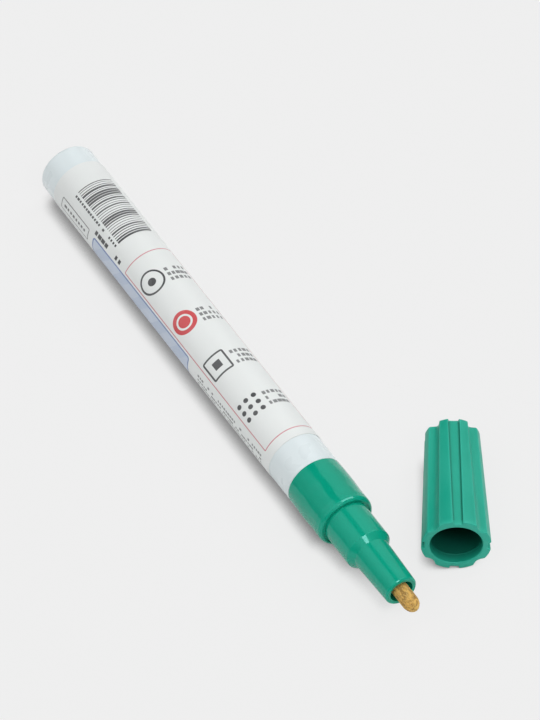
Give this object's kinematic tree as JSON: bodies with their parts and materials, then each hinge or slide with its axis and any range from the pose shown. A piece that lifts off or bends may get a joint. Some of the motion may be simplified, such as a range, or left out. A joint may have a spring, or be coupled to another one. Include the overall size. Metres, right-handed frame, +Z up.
{
  "type": "paint marker",
  "caption": "Fine-tip paint marker with a valve-fed fibre nib, stepped green tip holder and white tube, lying beside its ribbed green cap.",
  "frame": {"origin": "centre of the footprint of the marker and its cap, on the surface that they lie on", "axes": "+X along the marker towards its nib, +Z up, and the cap lies on the +Y side"},
  "size_m": [0.1404, 0.0396, 0.014],
  "materials": {
    "barrel_paint": "satin white paint",
    "label_film": "satin printed film",
    "holder_green": "gloss moulding",
    "nib_fibre": "bonded fibre",
    "seat_rubber": "soft black",
    "rod_white": "white moulding",
    "spring_steel": "drawn wire",
    "case_ivory": "ivory moulding",
    "ball_steel": "polished steel",
    "cap_green": "satin moulding",
    "liner_green": "dark green soft plastic"
  },
  "bodies": {
    "marker": {"barrel": "barrel_paint", "label_film": "label_film", "tip_holder": "holder_green", "valve_seat": "seat_rubber", "valve_case": "case_ivory", "valve_spring": "spring_steel"},
    "nib": {"nib": "nib_fibre"},
    "valve_rod": {"valve_rod": "rod_white"},
    "mixing_ball": {"mixing_ball": "ball_steel"},
    "cap": {"cap": "cap_green", "cap_liner": "liner_green"}
  },
  "joints": [
    {"name": "nib_press", "type": "slide", "parent": "marker", "child": "nib", "axis": [-1, 0, 0], "range_m": [0, 0.0015], "stiffness_N_per_m": 400, "springref_m": -0.002},
    {"name": "valve_lift", "type": "slide", "parent": "marker", "child": "valve_rod", "axis": [-1, 0, 0], "range_m": [0, 0.0015], "deforming": ["valve_spring"]},
    {"name": "ball_roll", "type": "slide", "parent": "marker", "child": "mixing_ball", "axis": [1, 0, 0], "range_m": [-0.0563, 0.028]},
    {"name": "cap_slide", "type": "slide", "parent": "marker", "child": "cap", "axis": [-0.8708, 0.4917, 0], "range_m": [0, 0.03]}
  ],
  "couplings": [
    {"joint": "valve_lift", "follows": "nib_press", "ratio": 1}
  ]
}
